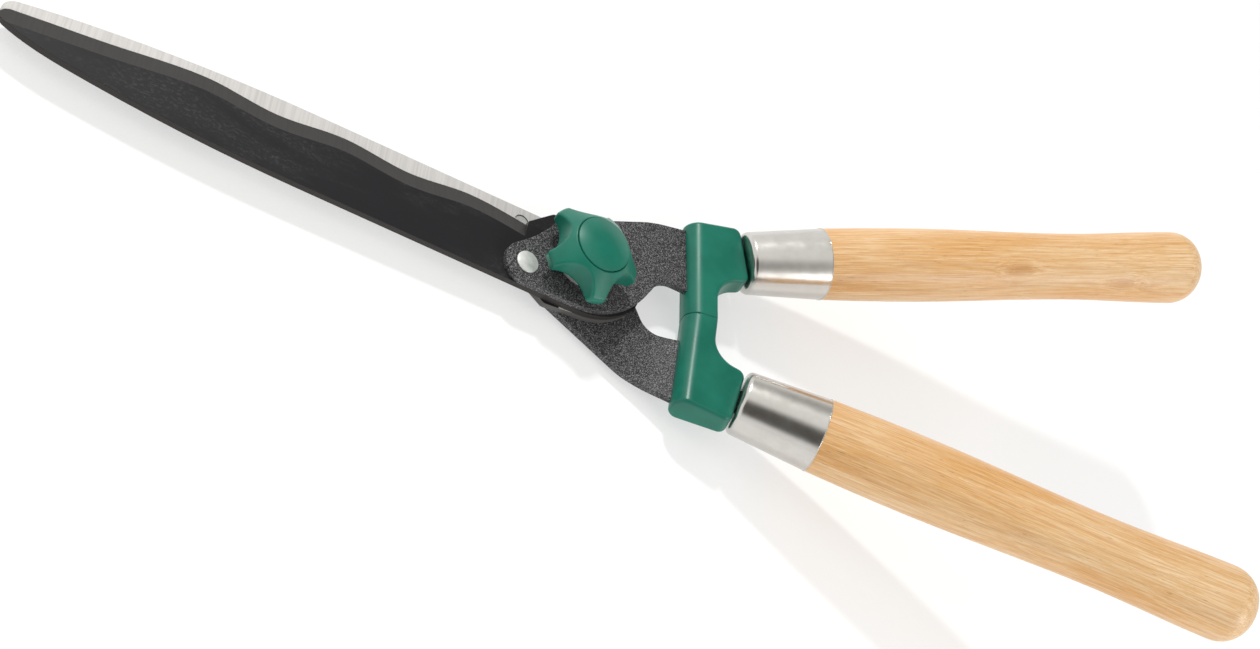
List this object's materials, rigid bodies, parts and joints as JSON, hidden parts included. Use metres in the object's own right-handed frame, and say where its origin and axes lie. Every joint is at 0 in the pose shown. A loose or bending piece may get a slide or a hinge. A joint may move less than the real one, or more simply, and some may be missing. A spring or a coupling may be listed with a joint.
{
  "type": "hedge shears",
  "caption": "Hedge shears with wavy blades on cranked steel arms, a star tension knob, stop buffers and turned wooden handles.",
  "frame": {"origin": "where the pivot axis meets the flat back of the pivot bolt's head", "axes": "+X along the tool towards the handles, +Z along the pivot axis towards the tension knob, +Y towards the upper blade's handle"},
  "size_m": [0.5627, 0.2186, 0.1191],
  "materials": {
    "rear_blade": "dark grey blade steel",
    "front_blade": "dark grey blade steel",
    "rear_arm": "hammered black paint",
    "front_arm": "hammered black paint",
    "rear_blade_rivet": "zinc plated",
    "front_blade_rivet": "zinc plated",
    "rear_buffer": "satin green",
    "front_buffer": "satin green",
    "rear_ferrule": "nickel plated",
    "front_ferrule": "nickel plated",
    "rear_handle": "clear varnish",
    "front_handle": "clear varnish",
    "pivot_bolt": "zinc plated",
    "pivot_washer": "zinc plated",
    "spring_washer": "zinc plated",
    "knob": "satin green",
    "knob_nut": "zinc plated",
    "knob_cap": "satin green"
  },
  "bodies": {
    "rear_half": {"rear_blade": "rear_blade", "rear_arm": "rear_arm", "rear_blade_rivet": "rear_blade_rivet", "rear_buffer": "rear_buffer", "rear_ferrule": "rear_ferrule", "rear_handle": "rear_handle", "pivot_bolt": "pivot_bolt", "pivot_washer": "pivot_washer"},
    "front_half": {"front_blade": "front_blade", "front_arm": "front_arm", "front_blade_rivet": "front_blade_rivet", "front_buffer": "front_buffer", "front_ferrule": "front_ferrule", "front_handle": "front_handle"},
    "lock_washer": {"spring_washer": "spring_washer"},
    "tension_knob": {"knob": "knob", "knob_nut": "knob_nut", "knob_cap": "knob_cap"}
  },
  "joints": [
    {"name": "blade_pivot", "type": "hinge", "parent": "rear_half", "child": "front_half", "pos_m": [0, 0, 0.0099], "axis": [0, 0, 1], "range_deg": [0, 60]},
    {"name": "washer_lift", "type": "slide", "parent": "rear_half", "child": "lock_washer", "axis": [0, 0, 1], "range_m": [0, 0.00126]},
    {"name": "knob_turn", "type": "hinge", "parent": "lock_washer", "child": "tension_knob", "pos_m": [0, 0, 0.0199], "axis": [0, 0, 1], "range_deg": [0, 360]}
  ],
  "couplings": [
    {"joint": "washer_lift", "follows": "knob_turn", "m_per_rad": 0.00019894}
  ]
}
